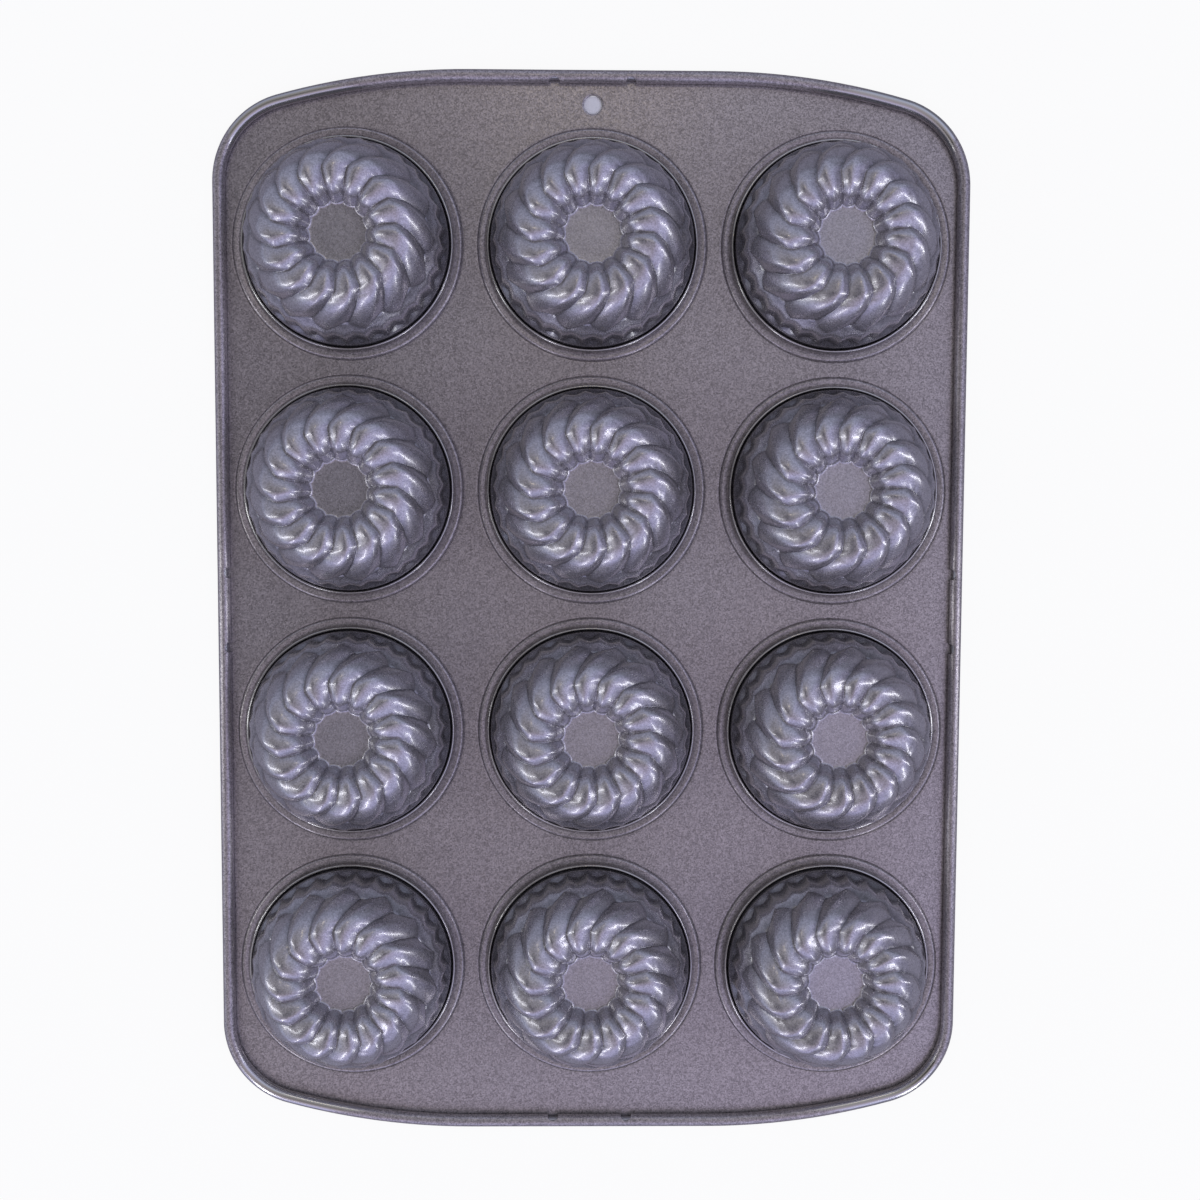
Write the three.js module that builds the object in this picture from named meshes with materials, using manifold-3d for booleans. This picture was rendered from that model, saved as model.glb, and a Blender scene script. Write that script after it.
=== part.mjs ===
// Mini fluted tube pan: a sheet-steel deck with a wired rim, and swirl-fluted cups pressed into
// collared holes in it. Millimetres and degrees, +Z up. The pan lies face down, so its baking face
// is the plane z = 0, the cups stand up from the deck and their mouths open downwards.
import * as THREE from 'three';
import Module from 'manifold-3d';

const wasm = await Module();
wasm.setup();

// Gap between two pieces that touch
const FIT = 0.3;

// Cups: how many, and the flat deck left between them and around them
const CUP_COLUMNS = 3;
const CUP_ROWS = 4;
const CUP_LAND = 6.8;
const SIDE_LAND = 2.8;
const END_LAND = 16.8;

// Cup wall: three tiers between the flange and the crown, and the closed boss in its middle
const CUP_SHEET = 0.6;
const CUP_RADIUS = 38;
const FLANGE_WIDTH = 3.2;
const LOWER_TIER_DRAFT = 0.6;
const LOWER_LEDGE_HEIGHT = 5;
const LOWER_LEDGE_WIDTH = 1.2;
const UPPER_TIER_DRAFT = 2;
const UPPER_LEDGE_HEIGHT = 16.6;
const UPPER_LEDGE_WIDTH = 0.8;
const LEDGE_SLOPE = 1;
const CUP_HEIGHT = 32;
const SHOULDER_RUN = 4.8;
const SHOULDER_DROP = 3.2;
const CROWN_RADIUS = 19.4;
const CROWN_WIDTH = 6.4;
const BOSS_RADIUS = 11.2;
const BOSS_DEPTH = 9;

// Flutes: straight over the boss and the crown, then swept clockwise down the outer wall. A valley
// lies past the middle between two ridges, so each flute has a long flank and a short one.
const FLUTES = 15;
const FLUTE_SWEEP = 19;
const VALLEY_PLACE = 0.58;
const CROWN_FLUTE_DEPTH = 1.6;
const SHOULDER_FLUTE_DEPTH = 2.4;
const FOOT_FLUTE_DEPTH = 2;
const CUP_PHASE = 11;

// Each cup is pressed in by hand, so each is turned a little: row by row from the hang hole's end
const CUP_TURNS = [
  [8, 2, 8],
  [5, 0, 6],
  [6, -9, -3],
  [4, -2, -3],
];

// Deck: one sheet, its holes sunk by the flange's thickness and turned up into collars
const DECK_SHEET = 0.6;
const COLLAR_HEIGHT = 3;
const END_FLAT = 91;
const END_RADIUS = 264;
const CORNER_RADIUS = 33;
const HANG_HOLE_RADIUS = 3.4;
const HANG_HOLE_INSET = 12;

// Rim: the deck's edge curled round a steel wire, with pairs of notches in the curl's free edge
const WIRE_DIAMETER = 2.6;
const WIRE_CLEARANCE = 0.4;
const WIRE_BUTT_GAP = 1.2;
const CURL_ANGLE = 300;
const NOTCH_RADIUS = 1.9;
const NOTCH_SPACING = 28.2;

// Facets
const ROUND_POINTS = 16;
const CURL_STEPS = 6;
const CORNER_STEPS = 5;
const END_STEPS = 3;
const WIRE_SIDES = 5;
const HOLE_SIDES = 16;
const NOTCH_SIDES = 10;

// Sizes that follow from those
const flangeRadius = CUP_RADIUS + FLANGE_WIDTH;
const recessDepth = CUP_SHEET + FIT;
const recessRadius = flangeRadius + FIT;
const recessOuterRadius = recessRadius + DECK_SHEET;
const collarRadius = CUP_RADIUS + FIT;
const collarOuterRadius = collarRadius + DECK_SHEET;
const cupPitch = 2 * recessOuterRadius + CUP_LAND;
const curlInnerRadius = WIRE_DIAMETER / 2 + WIRE_CLEARANCE;
const curlRadius = curlInnerRadius + DECK_SHEET;
const rimWidth = 2 * curlRadius;
const halfWidth = (CUP_COLUMNS - 1) / 2 * cupPitch + recessOuterRadius + SIDE_LAND + rimWidth;
const halfLength = (CUP_ROWS - 1) / 2 * cupPitch + recessOuterRadius + END_LAND + rimWidth;

const radians = THREE.MathUtils.degToRad;

// A skin is a closed surface put together from rings of points, bands between rings and flat faces.
function newSkin() {
  return { points: [], triangles: [] };
}

function addRing(skin, points) {
  const first = skin.points.length;
  skin.points.push(...points);
  return points.map((point, i) => first + i);
}

// Joins two rings of as many points, point to point.
function addBand(skin, from, to) {
  for (let i = 0; i < from.length; i++) {
    const next = (i + 1) % from.length;
    skin.triangles.push([from[i], to[i], to[next]], [from[i], to[next], from[next]]);
  }
}

// Joins two rings round the z axis that differ in count, by walking both at the same pace.
function addUnevenBand(skin, from, to) {
  const turnOf = (index) => Math.atan2(skin.points[index].y, skin.points[index].x);
  const start = turnOf(from[0]);
  const wrap = (turn) => turn - 2 * Math.PI * Math.floor(turn / (2 * Math.PI));
  const gap = (index) => Math.abs(wrap(turnOf(index) - start + Math.PI) - Math.PI);
  const nearest = to.reduce((best, index, i) => (gap(index) < gap(to[best]) ? i : best), 0);
  const target = to.map((index, i) => to[(nearest + i) % to.length]);
  const share = (ring, i) => {
    const lead = wrap(turnOf(ring[0]) - start + Math.PI) - Math.PI;
    return i === ring.length ? lead + 2 * Math.PI : lead + wrap(turnOf(ring[i]) - turnOf(ring[0]));
  };
  let i = 0;
  let j = 0;
  while (i < from.length || j < target.length) {
    const fromNext = from[(i + 1) % from.length];
    const targetNext = target[(j + 1) % target.length];
    const walkFrom = j === target.length || (i < from.length && share(from, i + 1) <= share(target, j + 1));
    if (walkFrom) {
      skin.triangles.push([from[i % from.length], target[j % target.length], fromNext]);
      i += 1;
    } else {
      skin.triangles.push([from[i % from.length], target[j % target.length], targetNext]);
      j += 1;
    }
  }
}

// Fills a flat ring, with other rings as holes in it, facing up or down.
function addFlat(skin, contour, holes, facesUp) {
  const flat = (ring) => ring.map((index) => new THREE.Vector2(skin.points[index].x, skin.points[index].y));
  const indices = [...contour, ...holes.flat()];
  for (const face of THREE.ShapeUtils.triangulateShape(flat(contour), holes.map(flat))) {
    const [a, b, c] = face.map((i) => indices[i]);
    const corners = flat([a, b, c]);
    const turnsLeft = THREE.ShapeUtils.area(corners) > 0;
    skin.triangles.push(turnsLeft === facesUp ? [a, b, c] : [a, c, b]);
  }
}

function skinArrays(skin) {
  return {
    vertProperties: new Float32Array(skin.points.flatMap((point) => [point.x, point.y, point.z])),
    triVerts: new Uint32Array(skin.triangles.flat()),
  };
}

function asGeometry({ vertProperties, triVerts }) {
  const geometry = new THREE.BufferGeometry();
  geometry.setAttribute('position', new THREE.BufferAttribute(vertProperties, 3));
  geometry.setIndex(new THREE.BufferAttribute(triVerts, 1));
  geometry.computeVertexNormals();
  return geometry;
}

function asSolid({ vertProperties, triVerts }) {
  return new wasm.Manifold(new wasm.Mesh({ numProp: 3, vertProperties, triVerts }));
}

function circle(count, radius, height, centre = new THREE.Vector2(), turn = 0) {
  return Array.from({ length: count }, (unused, i) => {
    const angle = radians(turn) + 2 * Math.PI * i / count;
    return new THREE.Vector3(centre.x + radius * Math.cos(angle), centre.y + radius * Math.sin(angle), height);
  });
}

// Offsets an open profile into the sheet, by mitred normals.
function inset(profile, depth) {
  const side = (from, to) => {
    const along = new THREE.Vector2().subVectors(to, from).normalize();
    return new THREE.Vector2(along.y, -along.x);
  };
  return profile.map((point, i) => {
    const before = side(profile[Math.max(i - 1, 0)], profile[Math.max(i, 1)]);
    const last = profile.length - 1;
    const after = side(profile[Math.min(i, last - 1)], profile[Math.min(i + 1, last)]);
    const mitre = before.clone().add(after).multiplyScalar(depth / (1 + before.dot(after)));
    return point.clone().add(mitre);
  });
}

// Cup: half-profiles of the outer skin, along a flute's ridge and along the valley between two flutes
const lowerLedgeOuter = CUP_RADIUS - LOWER_TIER_DRAFT;
const lowerLedgeInner = lowerLedgeOuter - LOWER_LEDGE_WIDTH;
const upperLedgeOuter = lowerLedgeInner - UPPER_TIER_DRAFT;
const fluteFoot = upperLedgeOuter - UPPER_LEDGE_WIDTH;
const fluteFootHeight = UPPER_LEDGE_HEIGHT + LEDGE_SLOPE * UPPER_LEDGE_WIDTH;
const shoulderRadius = fluteFoot - SHOULDER_RUN;
const shoulderHeight = CUP_HEIGHT - SHOULDER_DROP;
const bossHeight = CUP_HEIGHT - BOSS_DEPTH;

const lowerTiers = [
  new THREE.Vector2(upperLedgeOuter, UPPER_LEDGE_HEIGHT),
  new THREE.Vector2(lowerLedgeInner, LOWER_LEDGE_HEIGHT + LEDGE_SLOPE * LOWER_LEDGE_WIDTH),
  new THREE.Vector2(lowerLedgeOuter, LOWER_LEDGE_HEIGHT),
  new THREE.Vector2(CUP_RADIUS, CUP_SHEET),
  new THREE.Vector2(flangeRadius, CUP_SHEET),
];
const ridgeProfile = [
  new THREE.Vector2(0, bossHeight),
  new THREE.Vector2(BOSS_RADIUS, bossHeight),
  new THREE.Vector2(CROWN_RADIUS - CROWN_WIDTH / 2, CUP_HEIGHT),
  new THREE.Vector2(CROWN_RADIUS + CROWN_WIDTH / 2, CUP_HEIGHT),
  new THREE.Vector2(shoulderRadius, shoulderHeight),
  new THREE.Vector2(fluteFoot, fluteFootHeight),
  ...lowerTiers,
];
const fluteDepths = [0, 0, CROWN_FLUTE_DEPTH, CROWN_FLUTE_DEPTH, SHOULDER_FLUTE_DEPTH];
const valleyProfile = ridgeProfile.map((point, i) => {
  if (i < fluteDepths.length) return inset(ridgeProfile, fluteDepths[i])[i];
  return point.clone();
});
const FOOT_ROW = fluteDepths.length;
valleyProfile[FOOT_ROW].x -= FOOT_FLUTE_DEPTH;
valleyProfile[FOOT_ROW].y += LEDGE_SLOPE * FOOT_FLUTE_DEPTH;

// The flutes turn with the fall of the wall: none over the crown, all of the sweep at the foot.
function sweepAt(row) {
  if (row < FOOT_ROW - 1) return 0;
  return -FLUTE_SWEEP * (CUP_HEIGHT - ridgeProfile[row].y) / (CUP_HEIGHT - fluteFootHeight);
}

// One side of the cup's sheet, as rings from the boss outwards.
function cupSide(skin, ridge, valley, phase) {
  const rings = [];
  const toValley = (1 - VALLEY_PLACE) * 360 / FLUTES;
  rings.push(addRing(skin, circle(FLUTES, ridge[1].x, ridge[1].y, undefined, phase + toValley)));
  for (let row = 2; row <= FOOT_ROW; row++) {
    const turn = phase + sweepAt(row);
    const ridges = circle(FLUTES, ridge[row].x, ridge[row].y, undefined, turn);
    const valleys = circle(FLUTES, valley[row].x, valley[row].y, undefined, turn + toValley);
    rings.push(addRing(skin, ridges.flatMap((point, i) => [point, valleys[i]])));
  }
  for (let row = FOOT_ROW + 1; row < ridge.length; row++) {
    rings.push(addRing(skin, circle(ROUND_POINTS, ridge[row].x, ridge[row].y)));
  }
  return rings;
}

function joinSide(skin, rings) {
  for (let row = 1; row < rings.length; row++) {
    const even = rings[row - 1].length === rings[row].length;
    (even ? addBand : addUnevenBand)(skin, rings[row - 1], rings[row]);
  }
}

function buildCup(phase) {
  const skin = newSkin();
  const upper = cupSide(skin, ridgeProfile, valleyProfile, phase);
  const lower = cupSide(skin, inset(ridgeProfile, CUP_SHEET), inset(valleyProfile, CUP_SHEET), phase);
  addFlat(skin, upper[0], [], true);
  joinSide(skin, upper);
  const upperCount = skin.triangles.length;
  addFlat(skin, lower[0], [], false);
  joinSide(skin, lower);
  // The lower side's bands were laid the same way round as the upper ones, so they are turned over.
  for (const triangle of skin.triangles.slice(upperCount + FLUTES - 2)) triangle.reverse();
  addBand(skin, upper.at(-1), lower.at(-1));
  return asGeometry(skinArrays(skin));
}

// Outline of the rim's outer edge: points with their outward normals, a corner and half an end each
function outlineStations() {
  const cornerX = halfWidth - CORNER_RADIUS;
  const endX = END_FLAT / 2;
  const endY = halfLength - END_RADIUS;
  const meet = Math.acos((cornerX - endX) / (END_RADIUS - CORNER_RADIUS));
  const cornerY = endY + (END_RADIUS - CORNER_RADIUS) * Math.sin(meet);
  const arc = (x, y, radius, angle) => ({
    place: new THREE.Vector2(x + radius * Math.cos(angle), y + radius * Math.sin(angle)),
    normal: new THREE.Vector2(Math.cos(angle), Math.sin(angle)),
  });
  const quarter = [];
  for (let i = 0; i <= CORNER_STEPS; i++) {
    quarter.push(arc(cornerX, cornerY, CORNER_RADIUS, meet * i / CORNER_STEPS));
  }
  for (let i = 1; i <= END_STEPS; i++) {
    quarter.push(arc(endX, endY, END_RADIUS, meet + (Math.PI / 2 - meet) * i / END_STEPS));
  }
  const flip = (stations, x, y) => stations.map(({ place, normal }) => ({
    place: new THREE.Vector2(place.x * x, place.y * y),
    normal: new THREE.Vector2(normal.x * x, normal.y * y),
  }));
  return [
    ...quarter,
    ...flip(quarter, -1, 1).reverse(),
    ...flip(quarter, -1, -1),
    ...flip(quarter, 1, -1).reverse(),
  ];
}

function stationPoint({ place, normal }, offset, height) {
  return new THREE.Vector3(place.x - normal.x * offset, place.y - normal.y * offset, height);
}

// Rings of the curled edge at one radius, from where it leaves the deck to its free edge.
function curlRings(skin, stations, radius) {
  return Array.from({ length: CURL_STEPS + 1 }, (unused, i) => {
    const angle = radians(-90 + CURL_ANGLE * i / CURL_STEPS);
    const offset = curlRadius - radius * Math.cos(angle);
    const height = curlRadius + radius * Math.sin(angle);
    return addRing(skin, stations.map((station) => stationPoint(station, offset, height)));
  });
}

function cupPlaces() {
  const places = [];
  for (let row = 0; row < CUP_ROWS; row++) {
    for (let column = 0; column < CUP_COLUMNS; column++) {
      const x = (column - (CUP_COLUMNS - 1) / 2) * cupPitch;
      const y = ((CUP_ROWS - 1) / 2 - row) * cupPitch;
      const turn = CUP_TURNS[row % CUP_TURNS.length][column % CUP_TURNS[0].length];
      places.push({ centre: new THREE.Vector2(x, y), turn });
    }
  }
  return places;
}

// A round cutter that stands upright.
function upright(sides, radius, x, y, bottom, top) {
  const skin = newSkin();
  const centre = new THREE.Vector2(x, y);
  const low = addRing(skin, circle(sides, radius, bottom, centre));
  const high = addRing(skin, circle(sides, radius, top, centre));
  addFlat(skin, low, [], false);
  addFlat(skin, high, [], true);
  addBand(skin, high, low);
  return asSolid(skinArrays(skin));
}

function buildDeck(stations) {
  const skin = newSkin();
  const outer = curlRings(skin, stations, curlRadius);
  const inner = curlRings(skin, stations, curlInnerRadius);
  for (let i = 1; i < outer.length; i++) {
    addBand(skin, outer[i], outer[i - 1]);
    addBand(skin, inner[i - 1], inner[i]);
  }
  addBand(skin, inner.at(-1), outer.at(-1));

  const upperHoles = [];
  const lowerHoles = [];
  for (const { centre } of cupPlaces()) {
    const section = [
      [recessOuterRadius, DECK_SHEET],
      [recessOuterRadius, DECK_SHEET + recessDepth],
      [collarOuterRadius, DECK_SHEET + recessDepth],
      [collarOuterRadius, COLLAR_HEIGHT],
      [collarRadius, COLLAR_HEIGHT],
      [collarRadius, recessDepth],
      [recessRadius, recessDepth],
      [recessRadius, 0],
    ];
    const rings = section.map(([radius, height]) => addRing(skin, circle(ROUND_POINTS, radius, height, centre)));
    for (let i = 1; i < rings.length; i++) addBand(skin, rings[i], rings[i - 1]);
    upperHoles.push(rings[0]);
    lowerHoles.push(rings.at(-1));
  }
  addFlat(skin, inner[0], upperHoles, true);
  addFlat(skin, outer[0], lowerHoles, false);

  let solid = asSolid(skinArrays(skin));
  const hangHole = upright(HOLE_SIDES, HANG_HOLE_RADIUS, 0, halfLength - HANG_HOLE_INSET, -1, rimWidth);
  solid = solid.subtract(hangHole);
  const notchBottom = DECK_SHEET + FIT;
  for (const side of [-1, 1]) {
    for (const step of [-NOTCH_SPACING / 2, NOTCH_SPACING / 2]) {
      const endNotch = [step, side * (halfLength - rimWidth)];
      const sideNotch = [side * (halfWidth - rimWidth), step];
      for (const [x, y] of [endNotch, sideNotch]) {
        solid = solid.subtract(upright(NOTCH_SIDES, NOTCH_RADIUS, x, y, notchBottom, 2 * rimWidth));
      }
    }
  }
  return asGeometry(solid.getMesh());
}

// The wire runs once round inside the curl, from one side of its butt joint to the other.
function buildWire(stations) {
  const skin = newSkin();
  const middle = { place: new THREE.Vector2(halfWidth, 0), normal: new THREE.Vector2(1, 0) };
  const shifted = (shift) => ({ ...middle, place: middle.place.clone().setY(shift) });
  const path = [shifted(WIRE_BUTT_GAP / 2), ...stations, shifted(-WIRE_BUTT_GAP / 2)];
  const rings = path.map((station) => addRing(skin, Array.from({ length: WIRE_SIDES }, (unused, i) => {
    const angle = 2 * Math.PI * i / WIRE_SIDES;
    const offset = curlRadius - WIRE_DIAMETER / 2 * Math.cos(angle);
    return stationPoint(station, offset, curlRadius + WIRE_DIAMETER / 2 * Math.sin(angle));
  })));
  for (let i = 1; i < rings.length; i++) addBand(skin, rings[i - 1], rings[i]);
  for (let i = 2; i < WIRE_SIDES; i++) {
    const [start, end] = [rings[0], rings.at(-1)];
    skin.triangles.push([start[0], start[i - 1], start[i]], [end[0], end[i], end[i - 1]]);
  }
  return asGeometry(skinArrays(skin));
}

function addPiece(group, name, geometry, color, roughness, metalness) {
  const mesh = new THREE.Mesh(geometry, new THREE.MeshStandardMaterial({ color, roughness, metalness }));
  mesh.name = name;
  group.add(mesh);
  return mesh;
}

const pan = new THREE.Group();
const stations = outlineStations();
addPiece(pan, 'deck', buildDeck(stations), 0x77706f, 0.55, 0.45);
addPiece(pan, 'rim_wire', buildWire(stations), 0x8f9194, 0.4, 0.9);
cupPlaces().forEach(({ centre, turn }, i) => {
  const name = `cup_${String(i + 1).padStart(2, '0')}`;
  const cup = addPiece(pan, name, buildCup(CUP_PHASE + turn), 0x6f6c75, 0.35, 0.5);
  cup.position.set(centre.x, centre.y, 0);
});

export default pan;
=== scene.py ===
import math

import bmesh
import bpy
from mathutils import Matrix, Vector
from mathutils.geometry import interpolate_bezier


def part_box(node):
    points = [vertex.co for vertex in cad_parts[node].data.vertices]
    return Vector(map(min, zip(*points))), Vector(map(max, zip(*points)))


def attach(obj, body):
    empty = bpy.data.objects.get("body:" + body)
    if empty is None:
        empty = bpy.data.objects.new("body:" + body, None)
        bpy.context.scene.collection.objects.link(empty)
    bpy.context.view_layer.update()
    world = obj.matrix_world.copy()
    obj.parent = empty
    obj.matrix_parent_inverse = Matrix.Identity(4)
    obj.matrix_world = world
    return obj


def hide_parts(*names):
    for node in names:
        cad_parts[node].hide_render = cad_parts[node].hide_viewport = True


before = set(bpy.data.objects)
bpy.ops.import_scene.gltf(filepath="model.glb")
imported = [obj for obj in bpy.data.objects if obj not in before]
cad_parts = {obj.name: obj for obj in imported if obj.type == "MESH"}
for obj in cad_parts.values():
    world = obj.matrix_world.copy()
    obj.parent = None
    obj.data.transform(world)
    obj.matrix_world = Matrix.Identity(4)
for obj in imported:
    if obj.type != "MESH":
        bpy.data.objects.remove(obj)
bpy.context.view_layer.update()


# Deck: one sheet of carbon steel, lying with its baking face down. It is pressed with a
# shallow step and a turned-up collar round each cup hole, punched with a hang hole, and its
# edge is rolled round a wire. Both faces have a baked-on grey release coating.
sheet = 0.0006
half_width = 0.1405
half_length = 0.2
end_flat = 0.091
end_radius = 0.264
corner_radius = 0.033
curl_radius = 0.0023
curl_swing = math.radians(300)
curl_margin = 0.0008
notch_radius = 0.0019
notch_reach = 0.0141
notch_shoulder = 0.00006
hole_radius = 0.0034
hole_inset = 0.012
hole_place = (0.0, half_length - hole_inset)
cup_names = [f"cup_{number:02d}" for number in range(1, 13)]
cup_boxes = [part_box(name) for name in cup_names]
cup_centres = [((low[0] + high[0]) / 2, (low[1] + high[1]) / 2) for low, high in cup_boxes]

corner_side = half_width - corner_radius
bow_centre = half_length - end_radius
bow_turn = math.asin((corner_side - end_flat / 2) / (end_radius - corner_radius))
corner_along = bow_centre + (end_radius - corner_radius) * math.cos(bow_turn)
bow_steps = 14
corner_steps = 26
straight_share = 0.9999
weld = 1e-6
fine_weld = 1e-7


def trace_outline(shape, inset, end_stops, side_stops):
    """Draws the pan's outline, drawn in by inset, as one closed loop of edges at floor level."""
    end = half_length - inset
    side = half_width - inset
    chain = [shape.verts.new((stop, end, 0)) for stop in end_stops]
    for before, after in zip(chain, chain[1:]):
        shape.edges.new((before, after))
    turning = chain[-1]
    arcs = (
        ((end_flat / 2, bow_centre, 0), bow_turn, bow_steps),
        ((corner_side, corner_along, 0), math.pi / 2 - bow_turn, corner_steps),
    )
    for centre, turn, steps in arcs:
        swept = bmesh.ops.spin(
            shape, geom=[turning], cent=centre, axis=(0, 0, -1), angle=turn, steps=steps,
        )
        turning = swept["geom_last"][0]
    for stop in reversed(side_stops):
        after = shape.verts.new((side, stop, 0))
        shape.edges.new((turning, after))
        turning = after
    for axis in ("X", "Y"):
        bmesh.ops.mirror(shape, geom=shape.verts[:] + shape.edges[:], merge_dist=weld, axis=axis)
    bmesh.ops.remove_doubles(shape, verts=shape.verts[:], dist=fine_weld)


def outward_at(place):
    """The way out of the pan, square to its outline, at a place near the rim."""
    across, along = abs(place.x), abs(place.y)
    if along <= corner_along:
        out = Vector((1, 0, 0))
    elif across <= end_flat / 2:
        out = Vector((0, 1, 0))
    else:
        out = Vector((across - corner_side, along - corner_along, 0)).normalized()
        if out.x < math.sin(bow_turn):
            out = Vector((across - end_flat / 2, along - bow_centre, 0)).normalized()
    return Vector((math.copysign(out.x, place.x), math.copysign(out.y, place.y), 0))


def sweep_loop(shape, edges):
    """Pulls a new loop out of a loop of edges, and returns its vertices and edges."""
    made = bmesh.ops.extrude_edge_only(shape, edges=edges)["geom"]
    verts = [item for item in made if isinstance(item, bmesh.types.BMVert)]
    fresh = set(verts)
    edges = [item for item in made if isinstance(item, bmesh.types.BMEdge)]
    loop = [edge for edge in edges if fresh.issuperset(edge.verts)]
    return verts, loop


notch_steps = 12
notch_turns = [math.pi * step / notch_steps for step in range(notch_steps + 1)]
notch_stops = [notch_reach - notch_radius * math.cos(turn) for turn in notch_turns]
notch_stops = [notch_stops[0] - notch_shoulder] + notch_stops + [notch_stops[-1] + notch_shoulder]
after_notch = 0.026
end_spacing = 0.01
side_spacing = 0.02
last_stop = 0.142
end_stops = [0.0] + notch_stops + [after_notch, after_notch + end_spacing, end_flat / 2]
side_stops = [0.0] + notch_stops + [after_notch + side_spacing * step for step in range(6)] + [last_stop]

deck_shape = bmesh.new()
outward_layer = deck_shape.verts.layers.float_vector.new("outward")
seat_layer = deck_shape.verts.layers.float_vector.new("seat")
swing_layer = deck_shape.verts.layers.float.new("swing")
trace_outline(deck_shape, curl_radius + curl_margin, end_stops, side_stops)
for vert in deck_shape.verts:
    outward = outward_at(vert.co)
    vert[outward_layer] = outward
    vert[seat_layer] = vert.co + curl_margin * outward
    run = abs(vert.co.y) if abs(outward.x) > straight_share else abs(vert.co.x)
    straight = max(abs(outward.x), abs(outward.y)) > straight_share
    off = abs(run - notch_reach)
    vert[swing_layer] = curl_swing
    if straight and off <= notch_radius + fine_weld:
        bite = math.sqrt(max(0.0, notch_radius ** 2 - off ** 2))
        vert[swing_layer] = math.pi + math.asin(1 - bite / curl_radius)

curl_steps = 40
edge_steps = 6
curl_path = [(curl_radius, step / curl_steps, 0.0) for step in range(curl_steps + 1)]
for step in range(1, edge_steps):
    edge_turn = math.pi * step / edge_steps
    edge_radius = curl_radius - sheet / 2 + sheet / 2 * math.cos(edge_turn)
    curl_path.append((edge_radius, 1.0, sheet / 2 * math.sin(edge_turn)))
curl_path += [(curl_radius - sheet, step / curl_steps, 0.0) for step in range(curl_steps, -1, -1)]
rim_loop = deck_shape.edges[:]
for radius, share, over in curl_path:
    fresh, rim_loop = sweep_loop(deck_shape, rim_loop)
    for vert in fresh:
        swing = vert[swing_layer] * share + over / radius
        vert.co = vert[seat_layer] + radius * math.sin(swing) * vert[outward_layer]
        vert.co.z = curl_radius - radius * math.cos(swing)
fresh, rim_loop = sweep_loop(deck_shape, rim_loop)
for vert in fresh:
    vert.co -= curl_margin * vert[outward_layer]

step_height = 0.0009
step_radius = 0.0426
step_run = 0.0008
collar_radius = 0.0384
collar_height = 0.0032
collar_bend = 0.0009
bend_steps = 8
hole_rounds = 144
lip_width = 0.00095
lip_drop = 0.0006
lip_steps = 8
lip_edge = collar_radius + lip_width
groove_radius = lip_edge + 0.0007
groove_floor = lip_edge + 0.0002
groove_depth = 0.0006
groove_rise = 0.0002
groove_brow = 0.00025
groove_lead = 0.00015
ring_top = step_height + sheet
ring_edge = step_radius - step_run
crease_depth = 0.0002
crease_lead = 0.00002
crease_inner = step_radius + 0.0001
crease_outer = step_radius + 0.00025
crease_end = step_radius + 0.0005
flat_margin = 0.0012
slight_ease = 0.0001
wide_ease = 0.0003
under_side = [
    (step_radius + flat_margin, 0.0), (step_radius + slight_ease, 0.0),
    (step_radius - wide_ease, slight_ease), (ring_edge, step_height - slight_ease),
    (ring_edge - wide_ease, step_height),
]
for step in range(bend_steps + 1):
    bend = math.pi / 2 * step / bend_steps
    turn_in, turn_up = 1 - math.sin(bend), 1 - math.cos(bend)
    under_side.append((collar_radius + collar_bend * turn_in, step_height + collar_bend * turn_up))
lip = []
for step in range(lip_steps + 1):
    lip_turn = math.pi * step / lip_steps
    over = lip_width * (1 - math.cos(lip_turn)) / 2
    lip.append((collar_radius + over, collar_height - lip_drop * (1 - math.sin(lip_turn))))
# The step's rounded shoulder: how far in from the step, and how far below the ring's top.
shoulder = ((0.00008, 0.0004), (0.0002, 0.00025), (0.0005, 0.00008))
upper_side = [
    (step_radius + flat_margin, sheet), (crease_end, sheet),
    (crease_end - slight_ease, sheet - crease_lead),
    (crease_outer, sheet - crease_depth), (crease_inner, sheet - crease_depth), (step_radius, sheet),
    *[(step_radius - inward, ring_top - below) for inward, below in shoulder],
    (ring_edge, ring_top), (ring_edge - slight_ease, ring_top),
    (groove_radius + wide_ease, ring_top - groove_lead), (groove_radius, ring_top - groove_brow),
    (groove_floor, ring_top - groove_depth), (lip_edge, ring_top - groove_depth + groove_rise),
]
collar_wall = under_side + lip + upper_side[::-1]
hole_edge = 0.00015
hole_margin = hole_radius + 0.0008
hole_steps = 48
hole_wall = [
    (hole_margin, 0.0), (hole_radius + hole_edge, 0.0), (hole_radius, hole_edge),
    (hole_radius, sheet - hole_edge), (hole_radius + hole_edge, sheet), (hole_margin, sheet),
]


def turned_wall(wall, rounds):
    """Turns a wall's section, given as radius and height, round an upright axis."""
    turned = bmesh.new()
    section = [turned.verts.new((radius, 0, height)) for radius, height in wall]
    edges = [turned.edges.new(pair) for pair in zip(section, section[1:])]
    bmesh.ops.spin(
        turned, geom=section + edges, cent=(0, 0, 0), axis=(0, 0, 1),
        angle=2 * math.pi, steps=rounds, use_merge=True,
    )
    mesh = bpy.data.meshes.new("turned_wall")
    turned.to_mesh(mesh)
    turned.free()
    return mesh


def set_walls(shape, wall, centres):
    """Sets a turned wall into a shape at each centre."""
    for centre in centres:
        placed = wall.copy()
        placed.transform(Matrix.Translation((*centre, 0)))
        shape.from_mesh(placed)


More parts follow.
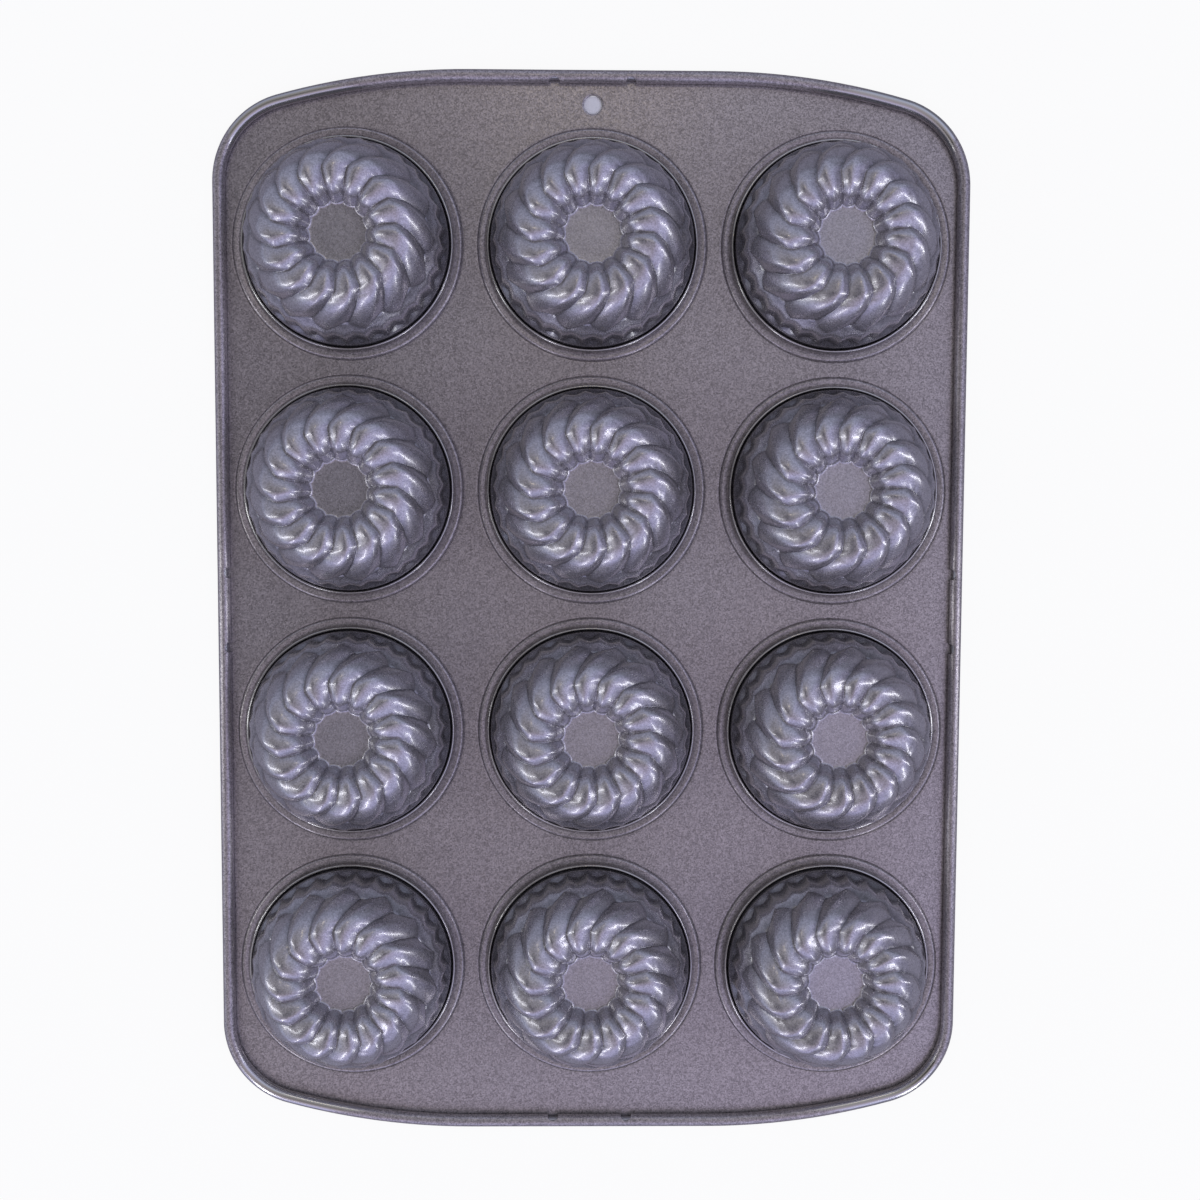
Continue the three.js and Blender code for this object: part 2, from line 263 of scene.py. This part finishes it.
set_walls(deck_shape, turned_wall(collar_wall, hole_rounds), cup_centres)
set_walls(deck_shape, turned_wall(hole_wall, hole_steps), [hole_place])
for level, facing in ((0.0, -1), (sheet, 1)):
    open_edges = [
        edge for edge in deck_shape.edges
        if edge.is_boundary and all(abs(vert.co.z - level) < weld for vert in edge.verts)
    ]
    bmesh.ops.triangle_fill(
        deck_shape, use_beauty=True, use_dissolve=False, edges=open_edges, normal=(0, 0, facing),
    )
bmesh.ops.recalc_face_normals(deck_shape, faces=deck_shape.faces[:])
bare_layer = deck_shape.verts.layers.float.new("bare")
deck_crease_shade_layer = deck_shape.verts.layers.float.new("crease_shade")
lip_foot = collar_height - lip_drop - slight_ease
slack = 0.00005
rim_zone = 3 * curl_radius
# Painted shade: the groove outside each collar's lip and the crease at each step's foot are marked, and the
# coating is darkened there.
for vert in deck_shape.verts:
    reach = min(math.hypot(vert.co.x - across, vert.co.y - along) for across, along in cup_centres)
    in_groove = lip_edge - slack < reach < groove_floor + slack
    in_crease = crease_inner - slack < reach < crease_outer + slack
    vert[deck_crease_shade_layer] = 1.0 if in_groove or in_crease else 0.0
    # What stands high is marked as bare steel: the collars' lips, and also the rim's bead at the corners.
    off_side = abs(vert.co.x) <= half_width - rim_zone
    off_end = abs(vert.co.y) <= half_length - rim_zone
    vert[bare_layer] = 1.0 if off_side and off_end and vert.co.z > lip_foot else 0.0


def set_ramp(ramp, stops):
    """Gives a colour ramp its stops, each a place and a colour, from first to last."""
    (first, first_tone), *between, (last, last_tone) = stops
    ramp.elements[0].position = first
    ramp.elements[0].color = (*first_tone, 1)
    ramp.elements[1].position = last
    ramp.elements[1].color = (*last_tone, 1)
    for stop, tone in between:
        ramp.elements.new(stop).color = (*tone, 1)


def coat_metal(name, shade, tint, metal_share, roughness, gloss, grain_depth, foot_painted_shade):
    """Baked release coating: a dull grey film with fine bright flakes over a faint drift of colour.
    Its colour is darkened towards the foot of a drawn wall and in marked creases and valleys, as painted
    shade."""
    coat_roughness = 0.12
    flakes_per_metre = 2400
    drifts_per_metre = 14
    roughness_spread = 0.06
    foot_height, full_height = 0.006, 0.0155
    crease_shade_darkest = 0.5
    bare_steel, bare_roughness = (0.5, 0.49, 0.475), 0.2
    grain_bump, grain_height = 0.08, 0.0001
    finish = bpy.data.materials.new(name)
    finish.use_nodes = True
    nodes, links = finish.node_tree.nodes, finish.node_tree.links
    film = nodes["Principled BSDF"]
    film.inputs["Coat Weight"].default_value = gloss
    film.inputs["Coat Roughness"].default_value = coat_roughness
    place = nodes.new("ShaderNodeTexCoord")
    flakes = nodes.new("ShaderNodeTexVoronoi")
    flakes.inputs["Scale"].default_value = flakes_per_metre
    links.new(place.outputs["Object"], flakes.inputs["Vector"])
    flake_shade = nodes.new("ShaderNodeSeparateColor")
    links.new(flakes.outputs["Color"], flake_shade.inputs["Color"])
    sparkle = nodes.new("ShaderNodeValToRGB")
    darkest = [(1 - grain_depth) * part for part in shade]
    lightest = [(1 + grain_depth) * part for part in shade]
    set_ramp(sparkle.color_ramp, [(0.0, darkest), (1.0, lightest)])
    links.new(flake_shade.outputs["Red"], sparkle.inputs["Fac"])
    drift = nodes.new("ShaderNodeTexNoise")
    drift.inputs["Scale"].default_value = drifts_per_metre
    drift.inputs["Detail"].default_value = 1
    links.new(place.outputs["Object"], drift.inputs["Vector"])
    warm = nodes.new("ShaderNodeMix")
    warm.data_type = "RGBA"
    warm.blend_type = "MULTIPLY"
    warm.inputs["B"].default_value = (*tint, 1)
    links.new(drift.outputs["Fac"], warm.inputs["Factor"])
    links.new(sparkle.outputs["Color"], warm.inputs["A"])
    # Painted shade: the coating's colour is darkened towards the foot of a drawn wall.
    height = nodes.new("ShaderNodeSeparateXYZ")
    links.new(place.outputs["Object"], height.inputs["Vector"])
    painted_foot_shade = nodes.new("ShaderNodeMapRange")
    painted_foot_shade.inputs["From Min"].default_value = foot_height
    painted_foot_shade.inputs["From Max"].default_value = full_height
    painted_foot_shade.inputs["To Min"].default_value = foot_painted_shade
    painted_foot_shade.inputs["To Max"].default_value = 1.0
    links.new(height.outputs["Z"], painted_foot_shade.inputs["Value"])
    # Painted shade: the coating's colour is darkened where creases and valleys are marked.
    crease_shade = nodes.new("ShaderNodeAttribute")
    crease_shade.attribute_name = "crease_shade"
    crease_shade_ramp = nodes.new("ShaderNodeMapRange")
    crease_shade_ramp.inputs["To Min"].default_value = 1.0
    crease_shade_ramp.inputs["To Max"].default_value = crease_shade_darkest
    links.new(crease_shade.outputs["Fac"], crease_shade_ramp.inputs["Value"])
    painted_shade_total = nodes.new("ShaderNodeMath")
    painted_shade_total.operation = "MULTIPLY"
    links.new(painted_foot_shade.outputs["Result"], painted_shade_total.inputs[0])
    links.new(crease_shade_ramp.outputs["Result"], painted_shade_total.inputs[1])
    painted_shade_colour = nodes.new("ShaderNodeVectorMath")
    painted_shade_colour.operation = "SCALE"
    links.new(warm.outputs["Result"], painted_shade_colour.inputs["Vector"])
    links.new(painted_shade_total.outputs["Value"], painted_shade_colour.inputs["Scale"])
    dull = nodes.new("ShaderNodeMapRange")
    dull.inputs["To Min"].default_value = roughness - roughness_spread
    dull.inputs["To Max"].default_value = roughness + roughness_spread
    links.new(flake_shade.outputs["Green"], dull.inputs["Value"])
    bare = nodes.new("ShaderNodeAttribute")
    bare.attribute_name = "bare"
    for start, steel, socket in (
        (painted_shade_colour.outputs["Vector"], bare_steel, "Base Color"),
        (dull.outputs["Result"], [bare_roughness] * 3, "Roughness"),
        (None, (1, 1, 1), "Metallic"),
    ):
        worn = nodes.new("ShaderNodeMix")
        worn.data_type = "RGBA"
        worn.inputs["B"].default_value = (*steel, 1)
        worn.inputs["A"].default_value = (metal_share, metal_share, metal_share, 1)
        if start:
            links.new(start, worn.inputs["A"])
        links.new(bare.outputs["Fac"], worn.inputs["Factor"])
        links.new(worn.outputs["Result"], film.inputs[socket])
    grain = nodes.new("ShaderNodeBump")
    grain_strength = nodes.new("ShaderNodeMapRange")
    grain_strength.inputs["To Min"].default_value = grain_bump
    grain_strength.inputs["To Max"].default_value = 0.0
    links.new(bare.outputs["Fac"], grain_strength.inputs["Value"])
    links.new(grain_strength.outputs["Result"], grain.inputs["Strength"])
    grain.inputs["Distance"].default_value = grain_height
    links.new(flakes.outputs["Distance"], grain.inputs["Height"])
    links.new(grain.outputs["Normal"], film.inputs["Normal"])
    return finish


def show_piece(mesh, name, node, finish):
    """Sets a finished mesh in the scene as the piece that stands for a CAD node."""
    mesh.shade_smooth()
    mesh.materials.append(finish)
    piece = bpy.data.objects.new(name, mesh)
    bpy.context.scene.collection.objects.link(piece)
    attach(piece, "root")
    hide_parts(node)
    return piece


deck_finish = coat_metal(
    "deck_coating", shade=(0.342, 0.32, 0.325), tint=(1.0, 0.95, 0.93), metal_share=0.6,
    roughness=0.32, gloss=0.0, grain_depth=0.4, foot_painted_shade=1.0,
)
deck_mesh = bpy.data.meshes.new("deck_sheet")
deck_shape.to_mesh(deck_mesh)
deck_shape.free()
show_piece(deck_mesh, "deck_sheet", "deck", deck_finish)


# Rim wire: one length of plain drawn steel wire, laid round the edge before the sheet is
# curled over it. Its two ends butt together half way along the right side.
wire_radius = 0.0013
butt_gap = 0.0012
wire_sides = 14
wire_stop = 0.02
wire_stops = [0.0, butt_gap / 2, wire_stop, end_flat / 2]
wire_shape = bmesh.new()
wire_outward = wire_shape.verts.layers.float_vector.new("outward")
wire_seat = wire_shape.verts.layers.float_vector.new("seat")
trace_outline(wire_shape, curl_radius, wire_stops, wire_stops)
for vert in wire_shape.verts:
    vert[wire_outward] = outward_at(vert.co)
    vert[wire_seat] = vert.co
bmesh.ops.delete(
    wire_shape, context="VERTS",
    geom=[vert for vert in wire_shape.verts if vert.co.x > 0 and abs(vert.co.y) < butt_gap / 4],
)
wire_loop = wire_shape.edges[:]
for vert in wire_shape.verts:
    vert.co += wire_radius * vert[wire_outward]
    vert.co.z = curl_radius
for side in range(1, wire_sides + 1):
    turn = 2 * math.pi * side / wire_sides
    fresh, wire_loop = sweep_loop(wire_shape, wire_loop)
    for vert in fresh:
        vert.co = vert[wire_seat] + wire_radius * math.cos(turn) * vert[wire_outward]
        vert.co.z = curl_radius + wire_radius * math.sin(turn)
bmesh.ops.remove_doubles(wire_shape, verts=wire_shape.verts[:], dist=weld)
wire_ends = [edge for edge in wire_shape.edges if edge.is_boundary]
bmesh.ops.holes_fill(wire_shape, edges=wire_ends, sides=0)
bmesh.ops.recalc_face_normals(wire_shape, faces=wire_shape.faces[:])


def drawn_steel(name):
    """Bare drawn wire: bright grey steel with a fine uneven dullness."""
    streaks_per_metre = 700
    darkest, lightest = (0.3, 0.3, 0.31), (0.5, 0.5, 0.52)
    least_rough, most_rough = 0.3, 0.5
    finish = bpy.data.materials.new(name)
    finish.use_nodes = True
    nodes, links = finish.node_tree.nodes, finish.node_tree.links
    steel = nodes["Principled BSDF"]
    steel.inputs["Metallic"].default_value = 1.0
    place = nodes.new("ShaderNodeTexCoord")
    draw = nodes.new("ShaderNodeTexNoise")
    draw.inputs["Scale"].default_value = streaks_per_metre
    draw.inputs["Detail"].default_value = 3
    links.new(place.outputs["Object"], draw.inputs["Vector"])
    grey = nodes.new("ShaderNodeValToRGB")
    set_ramp(grey.color_ramp, [(0.0, darkest), (1.0, lightest)])
    links.new(draw.outputs["Fac"], grey.inputs["Fac"])
    links.new(grey.outputs["Color"], steel.inputs["Base Color"])
    dull = nodes.new("ShaderNodeMapRange")
    dull.inputs["To Min"].default_value = least_rough
    dull.inputs["To Max"].default_value = most_rough
    links.new(draw.outputs["Fac"], dull.inputs["Value"])
    links.new(dull.outputs["Result"], steel.inputs["Roughness"])
    return finish


wire_mesh = bpy.data.meshes.new("wire_round")
wire_shape.to_mesh(wire_mesh)
wire_shape.free()
show_piece(wire_mesh, "wire_round", "rim_wire", drawn_steel("rim_wire_steel"))


# Cups: twelve like pressings of the same coated sheet, each let up through a collar of the
# deck with its flange against the baking face. A flat disc closes the short middle tube,
# fifteen flutes run over the crown and turn down the wall, and two stepped tiers end it.
flutes = 15
flute_steps = 20
crowding = 0.5
disc_height = 23.0
pointed_share = 0.7
# Painted shade in the flutes' valleys: where it starts, how sharply it grows, and the valley depth in
# millimetres at which it is full.
valley_shade_start = 0.6
valley_shade_sharpness = 1.5
full_shade_depth = 2.0
millimetres = 1000
nudge = 1e-6
# How far each cup is turned, in degrees, in the order of the names.
cup_turns = (20, 13, 19, 16, 11, 17, 18, 2, 8, 15.5, 9, 9)
# Each row is one stretch of a ridge's line from the middle outwards, in millimetres: how many
# steps it takes, its end, and the handles that bend it. Then come what it ends with: how far out
# and how far down the valley lies from the ridge, its place between two ridges, how full the flank
# before it and how hollow the flank after it is, how eased the ridges are, how far in and how far
# down the scallops go (a minus is up), the turn in degrees, and how much painted shade darkens it there.
cup_line = (
    (3, (9.4, 23.0), (3.0, 23.0), (6.0, 23.0), 0.3, 0.0, 0.57, 2.0, 0.5, 0.2, 0.0, 0.0, 0.0, 0.0),
    (6, (10.6, 24.0), (10.0, 23.0), (10.35, 23.3), 1.1, 0.0, 0.57, 2.0, 0.5, 0.0, 0.0, 0.0, 0.0, 0.0),
    (7, (12.1, 27.7), (10.95, 25.2), (11.5, 26.5), 1.5, 0.5, 0.57, 2.0, 0.5, 0.0, 0.0, 0.0, 0.0, 0.0),
    (9, (15.6, 31.1), (12.8, 29.1), (14.1, 30.4), 0.9, 1.7, 0.57, 1.9, 0.55, 0.0, 0.0, 0.0, 0.0, 0.0),
    (8, (21.4, 32.0), (17.3, 31.85), (19.4, 32.0), 0.0, 2.0, 0.58, 1.8, 0.55, 0.0, 0.0, 0.0, -0.3, 0.0),
    (8, (25.8, 30.7), (23.2, 32.0), (24.7, 31.3), -1.5, 1.8, 0.62, 1.7, 0.6, 0.0, 0.0, 0.0, -3.6, 0.0),
    (10, (30.5, 25.3), (27.6, 29.7), (29.4, 27.2), -2.1, 0.4, 0.56, 2.0, 0.65, 0.0, 0.0, 0.0, -12.6, 0.0),
    (8, (33.2, 19.8), (31.5, 23.6), (32.5, 21.6), -2.3, -1.2, 0.5, 2.0, 0.9, 0.0, 0.0, 0.0, -19.2, 0.0),
    (3, (33.8, 18.1), (33.45, 19.1), (33.65, 18.55), -2.5, -2.0, 0.47, 1.7, 1.5, 0.0, 0.0, 0.0, -21.6, 0.4),
    (3, (34.1, 17.4), (33.9, 17.8), (34.0, 17.6), -2.7, -2.6, 0.45, 1.6, 1.6, 0.0, 0.0, 0.0, -22.2, 1.0),
    (4, (34.8, 16.6), (34.3, 17.15), (34.55, 16.9), 0.0, 0.0, 0.5, 1.6, 1.6, 0.0, 0.5, -0.5, -25.0, 0.1),
    (8, (36.35, 12.6), (35.5, 15.9), (36.15, 14.6), 0.0, 0.0, 0.5, 1.0, 1.0, 0.0, 1.2, -0.5, -25.0, 0.1),
    (6, (36.65, 7.5), (36.45, 11.0), (36.56, 9.2), 0.0, 0.0, 0.5, 1.0, 1.0, 0.0, 1.4, -0.6, -25.0, 0.75),
    (3, (36.8, 6.4), (36.68, 6.95), (36.74, 6.65), 0.0, 0.0, 0.5, 1.0, 1.0, 0.0, 1.5, -0.6, -25.0, 1.0),
    (5, (37.7, 5.0), (37.1, 5.95), (37.5, 5.5), 0.0, 0.0, 0.5, 1.0, 1.0, 0.0, 0.0, 0.0, -25.0, 0.0),
    (3, (37.82, 4.2), (37.76, 4.8), (37.8, 4.5), 0.0, 0.0, 0.5, 1.0, 1.0, 0.0, 0.0, 0.0, -25.0, 0.0),
    (4, (37.98, 1.4), (37.86, 3.4), (37.92, 2.2), 0.0, 0.0, 0.5, 1.0, 1.0, 0.0, 0.0, 0.0, -25.0, 0.0),
    (4, (38.6, 0.6), (38.02, 1.0), (38.2, 0.6), 0.0, 0.0, 0.5, 1.0, 1.0, 0.0, 0.0, 0.0, -25.0, 0.0),
    (2, (41.2, 0.6), (39.5, 0.6), (40.4, 0.6), 0.0, 0.0, 0.5, 1.0, 1.0, 0.0, 0.0, 0.0, -25.0, 0.0),
)

# The line starts at the middle of the disc.
line = [(Vector((0, disc_height, 0)), 0.0, 0.0, 0.57, 2.0, 0.5, 0.2, 0.0, 0.0, 0.0, 0.0)]
for steps, end, first, second, *traits in cup_line:
    start, *before = line[-1]
    points = interpolate_bezier(start, (*first, 0), (*second, 0), (*end, 0), steps + 1)
    for step, point in enumerate(points[1:], 1):
        share = step / steps
        line.append((point, *[(1 - share) * was + share * now for was, now in zip(before, traits)]))

cup_shape = bmesh.new()
stop_layer = cup_shape.verts.layers.float.new("stop")
crease_shade_layer = cup_shape.verts.layers.float.new("crease_shade")
ridge = [cup_shape.verts.new(Vector((point.x, 0, point.y)) / millimetres) for point, *traits in line]
for stop, vert in enumerate(ridge):
    vert[stop_layer] = stop
ridge_edges = [cup_shape.edges.new(pair) for pair in zip(ridge, ridge[1:])]
bmesh.ops.spin(
    cup_shape, geom=ridge + ridge_edges, cent=(0, 0, 0), axis=(0, 0, 1),
    angle=2 * math.pi, steps=flutes * flute_steps, use_merge=True,
)
bmesh.ops.remove_doubles(cup_shape, verts=cup_shape.verts[:], dist=fine_weld)

# Each point of the turned shape moves from the ridge towards the valley beside it, and round with
# the flute's turn. The points crowd towards the ridges and valleys, where the bends are.
flute_turn = 2 * math.pi / flutes
for vert in cup_shape.verts:
    stop = round(vert[stop_layer])
    if stop == 0:
        continue
    point, valley_out, valley_down, valley_place, fullness, hollow, *rest = line[stop]
    ease, scallop_in, scallop_down, turn, crease_shade = rest
    flute, phase = divmod(-math.atan2(vert.co.y, vert.co.x) / flute_turn + nudge, 1)
    flank = 2 * phase if phase < 0.5 else 2 - 2 * phase
    flank -= crowding * math.sin(2 * math.pi * flank) / (2 * math.pi)
    lag = valley_place * flank if phase < 0.5 else 1 - (1 - valley_place) * flank
    if phase < 0.5:
        fall = flank ** fullness
    elif hollow < 1:
        fall = flank ** (1 / hollow)
    else:
        fall = 1 - (1 - flank) ** hollow
    sink = (1 - ease) * fall + ease * (1 - math.cos(math.pi * fall)) / 2
    # Painted shade: the coating is marked darker near the bottom of deep valleys and at the listed creases.
    valley_depth = min(1.0, math.hypot(valley_out, valley_down) / full_shade_depth)
    valley_shade = max(0.0, (sink - valley_shade_start) / (1 - valley_shade_start)) ** valley_shade_sharpness
    vert[crease_shade_layer] = max(crease_shade, valley_depth * valley_shade)
    pointed = 1 - abs(1 - 4 * lag % 2)
    rounded = abs(math.sin(2 * math.pi * lag))
    scoop = pointed_share * pointed + (1 - pointed_share) * rounded
    reach = point.x + valley_out * sink - scallop_in * scoop
    height = point.y - valley_down * sink - scallop_down * scoop
    heading = math.radians(turn) - (flute + lag) * flute_turn
    vert.co = Vector((reach * math.cos(heading), reach * math.sin(heading), height)) / millimetres
bmesh.ops.recalc_face_normals(cup_shape, faces=cup_shape.faces[:])
if sum(face.normal.z for face in cup_shape.faces) < 0:
    bmesh.ops.reverse_faces(cup_shape, faces=cup_shape.faces[:])
cup_mesh = bpy.data.meshes.new("cup_shell")
cup_shape.to_mesh(cup_mesh)
cup_shape.free()

# The cups' coating carries painted shade, darker towards the foot of each wall and in the marked creases
# and valleys.
cup_finish = coat_metal(
    "cup_coating", shade=(0.37, 0.357, 0.38), tint=(1.0, 0.97, 0.95), metal_share=0.74,
    roughness=0.31, gloss=1.0, grain_depth=0.25, foot_painted_shade=0.6,
)
for name, centre, turn in zip(cup_names, cup_centres, cup_turns):
    shell = cup_mesh.copy()
    shell.name = name + "_shell"
    shell.transform(Matrix.Translation((*centre, 0)) @ Matrix.Rotation(math.radians(turn), 4, "Z"))
    cup = show_piece(shell, name + "_shell", name, cup_finish)
    wall = cup.modifiers.new("sheet", "SOLIDIFY")
    wall.thickness = sheet
    wall.offset = -1
    wall.use_even_offset = False


# Table, light and camera: a table top that is white to the camera and mid grey in reflections, a tall
# lamp at each side and each front corner, a faint warm one behind, a bluish room that is brighter at
# the front right and dim overhead, and a camera overhead, a little towards the hang hole's end.
table_half = 3.0
table_drop = 0.0002
table_lit = (0.8, 0.8, 0.8)
table_mirrored = (0.36, 0.35, 0.37)
white_share = 0.92
# Inside an oval under the pan, in shares of its half sizes, the table shows as plain paint.
oval_inside, oval_outside = 0.955, 0.96
table_shape = bmesh.new()
bmesh.ops.create_grid(table_shape, x_segments=1, y_segments=1, size=table_half)
bmesh.ops.translate(table_shape, verts=table_shape.verts[:], vec=(0, 0, -table_drop))
table_mesh = bpy.data.meshes.new("table_top")
table_shape.to_mesh(table_mesh)
table_shape.free()
table_white = bpy.data.materials.new("table_white")
table_white.use_nodes = True
table_nodes, table_links = table_white.node_tree.nodes, table_white.node_tree.links
table_paint = table_nodes["Principled BSDF"]
table_paint.inputs["Roughness"].default_value = 0.9
table_glow = table_nodes.new("ShaderNodeEmission")
table_glow.inputs["Strength"].default_value = 1.0
table_seen = table_nodes.new("ShaderNodeLightPath")
table_tone = table_nodes.new("ShaderNodeMix")
table_tone.data_type = "RGBA"
table_tone.inputs["A"].default_value = (*table_lit, 1)
table_tone.inputs["B"].default_value = (*table_mirrored, 1)
table_links.new(table_seen.outputs["Is Glossy Ray"], table_tone.inputs["Factor"])
table_links.new(table_tone.outputs["Result"], table_paint.inputs["Base Color"])
table_place = table_nodes.new("ShaderNodeTexCoord")
table_stretch = table_nodes.new("ShaderNodeVectorMath")
table_stretch.operation = "MULTIPLY"
table_stretch.inputs[1].default_value = (1 / half_width, 1 / half_length, 0)
table_links.new(table_place.outputs["Object"], table_stretch.inputs[0])
table_reach = table_nodes.new("ShaderNodeVectorMath")
table_reach.operation = "LENGTH"
table_links.new(table_stretch.outputs["Vector"], table_reach.inputs[0])
table_open = table_nodes.new("ShaderNodeMapRange")
table_open.inputs["From Min"].default_value = oval_inside
table_open.inputs["From Max"].default_value = oval_outside
table_open.inputs["To Max"].default_value = white_share
table_links.new(table_reach.outputs["Value"], table_open.inputs["Value"])
table_share = table_nodes.new("ShaderNodeMath")
table_share.operation = "MULTIPLY"
table_links.new(table_seen.outputs["Is Camera Ray"], table_share.inputs[0])
table_links.new(table_open.outputs["Result"], table_share.inputs[1])
table_mix = table_nodes.new("ShaderNodeMixShader")
table_links.new(table_share.outputs["Value"], table_mix.inputs["Fac"])
table_links.new(table_paint.outputs["BSDF"], table_mix.inputs[1])
table_links.new(table_glow.outputs["Emission"], table_mix.inputs[2])
table_links.new(table_mix.outputs["Shader"], table_nodes["Material Output"].inputs["Surface"])
table_mesh.materials.append(table_white)
table = bpy.data.objects.new("table_top", table_mesh)
bpy.context.scene.collection.objects.link(table)

room_pole = Vector((-0.38, 0.02, 0.92)).normalized()
room_light_side = Vector((0.55, -0.8, 0)).normalized()
room_tones = (
    (0.0, (0.2, 0.21, 0.27)), (0.42, (0.72, 0.78, 1.1)), (0.68, (0.71, 0.73, 0.94)),
    (0.85, (0.54, 0.52, 0.56)), (0.93, (0.46, 0.435, 0.44)), (0.985, (0.06, 0.055, 0.055)),
)
side_tones = (
    (0.0, (0.66, 0.66, 0.64)), (0.4, (0.97, 1.0, 0.97)),
    (0.7, (1.13, 1.03, 1.19)), (1.0, (1.26, 1.22, 1.32)),
)
room = bpy.data.worlds.new("room")
room.use_nodes = True
room_nodes, room_links = room.node_tree.nodes, room.node_tree.links
room_way = room_nodes.new("ShaderNodeTexCoord")
room_height = room_nodes.new("ShaderNodeVectorMath")
room_height.operation = "DOT_PRODUCT"
room_height.inputs[1].default_value = room_pole
room_links.new(room_way.outputs["Generated"], room_height.inputs[0])
room_shade = room_nodes.new("ShaderNodeValToRGB")
set_ramp(room_shade.color_ramp, room_tones)
room_links.new(room_height.outputs["Value"], room_shade.inputs["Fac"])
room_side = room_nodes.new("ShaderNodeVectorMath")
room_side.operation = "DOT_PRODUCT"
room_side.inputs[1].default_value = room_light_side
room_links.new(room_way.outputs["Generated"], room_side.inputs[0])
room_span = room_nodes.new("ShaderNodeMapRange")
room_span.inputs["From Min"].default_value = -1
room_links.new(room_side.outputs["Value"], room_span.inputs["Value"])
room_fall = room_nodes.new("ShaderNodeValToRGB")
set_ramp(room_fall.color_ramp, side_tones)
room_links.new(room_span.outputs["Result"], room_fall.inputs["Fac"])
room_dim = room_nodes.new("ShaderNodeVectorMath")
room_dim.operation = "MULTIPLY"
room_links.new(room_shade.outputs["Color"], room_dim.inputs[0])
room_links.new(room_fall.outputs["Color"], room_dim.inputs[1])
room_seen = room_nodes.new("ShaderNodeLightPath")
room_mix = room_nodes.new("ShaderNodeMix")
room_mix.data_type = "RGBA"
room_mix.inputs["B"].default_value = (1, 1, 1, 1)
room_links.new(room_seen.outputs["Is Camera Ray"], room_mix.inputs["Factor"])
room_links.new(room_dim.outputs["Vector"], room_mix.inputs["A"])
room_links.new(room_mix.outputs["Result"], room_nodes["Background"].inputs["Color"])
bpy.context.scene.world = room

cool_light = (0.93, 0.96, 1.0)
warm_light = (1.0, 0.86, 0.6)
# Each lamp's name, place, width, height, power in watts and colour.
lamps = (
    ("lamp_right", (0.84, -0.12, 0.52), 0.07, 0.8, 1.4, cool_light),
    ("lamp_left", (-0.84, -0.1, 0.52), 0.07, 0.8, 1.1, cool_light),
    ("lamp_front_right", (0.52, -0.84, 0.48), 0.07, 0.5, 0.85, cool_light),
    ("lamp_front_left", (-0.52, -0.84, 0.48), 0.07, 0.5, 0.8, cool_light),
    ("lamp_back", (0.0, 0.5, 0.9), 0.05, 0.05, 0.09, warm_light),
)
for name, place, wide, tall, power, tone in lamps:
    light = bpy.data.lights.new(name, "AREA")
    light.shape = "RECTANGLE"
    light.size = wide
    light.size_y = tall
    light.energy = power
    light.color = tone
    lamp = bpy.data.objects.new(name, light)
    lamp.location = place
    lamp.rotation_euler = Vector(place).to_track_quat("Z", "Y").to_euler()
    bpy.context.scene.collection.objects.link(lamp)

camera_place = (-0.0039, 0.0386, 0.5284)
camera_turns = (-3.7446, -0.7729, 0.2253)
eye = bpy.data.cameras.new("camera")
eye.sensor_width = 36
eye.lens = 41.84
camera = bpy.data.objects.new("camera", eye)
camera.location = camera_place
camera.rotation_euler = [math.radians(turn) for turn in camera_turns]
bpy.context.scene.collection.objects.link(camera)
bpy.context.scene.camera = camera
bpy.context.scene.view_settings.view_transform = "Standard"
